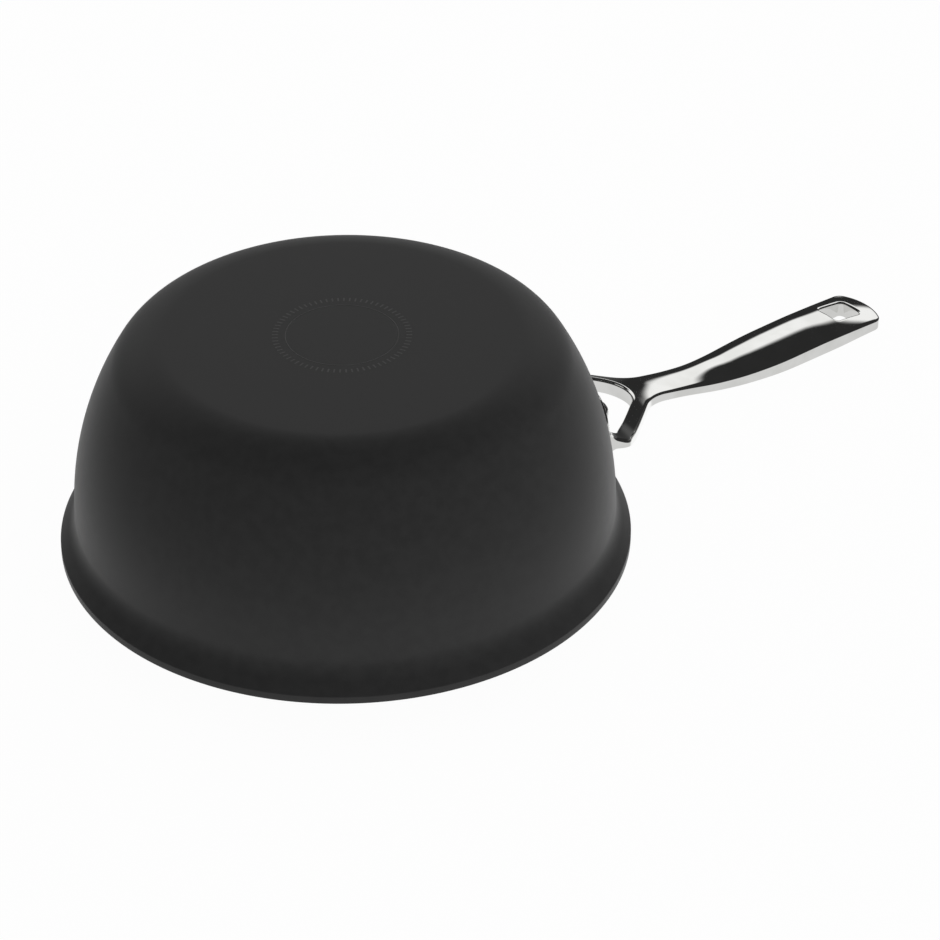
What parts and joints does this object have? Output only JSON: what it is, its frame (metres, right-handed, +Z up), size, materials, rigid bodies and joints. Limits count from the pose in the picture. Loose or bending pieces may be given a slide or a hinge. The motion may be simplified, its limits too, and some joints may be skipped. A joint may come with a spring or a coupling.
{
  "type": "saute pan",
  "caption": "Deep round non-stick saute pan with a flared pouring rim and one long forked metal handle riveted under the rim; it holds and heats food on a hob.",
  "frame": {"origin": "centre of the flat base, on the surface that the pan stands on", "axes": "+Z up along the axis of the bowl, +X from that axis along the handle"},
  "size_m": [0.455, 0.254, 0.1215],
  "materials": {
    "bowl_hard_coat": "matt black hard coat on cast aluminium, with a faint fine texture",
    "nonstick_coating": "satin black fluoropolymer coating",
    "induction_steel": "plain magnetic stainless steel, sealed inside the base",
    "polished_steel": "mirror-polished cast stainless steel",
    "rivet_steel": "stainless steel, turned and lightly polished"
  },
  "bodies": {
    "root": {"pan_body": "bowl_hard_coat", "nonstick_lining": "nonstick_coating", "base_plate": "induction_steel", "handle": "polished_steel", "rivet_left": "rivet_steel", "rivet_right": "rivet_steel"}
  },
  "joints": []
}
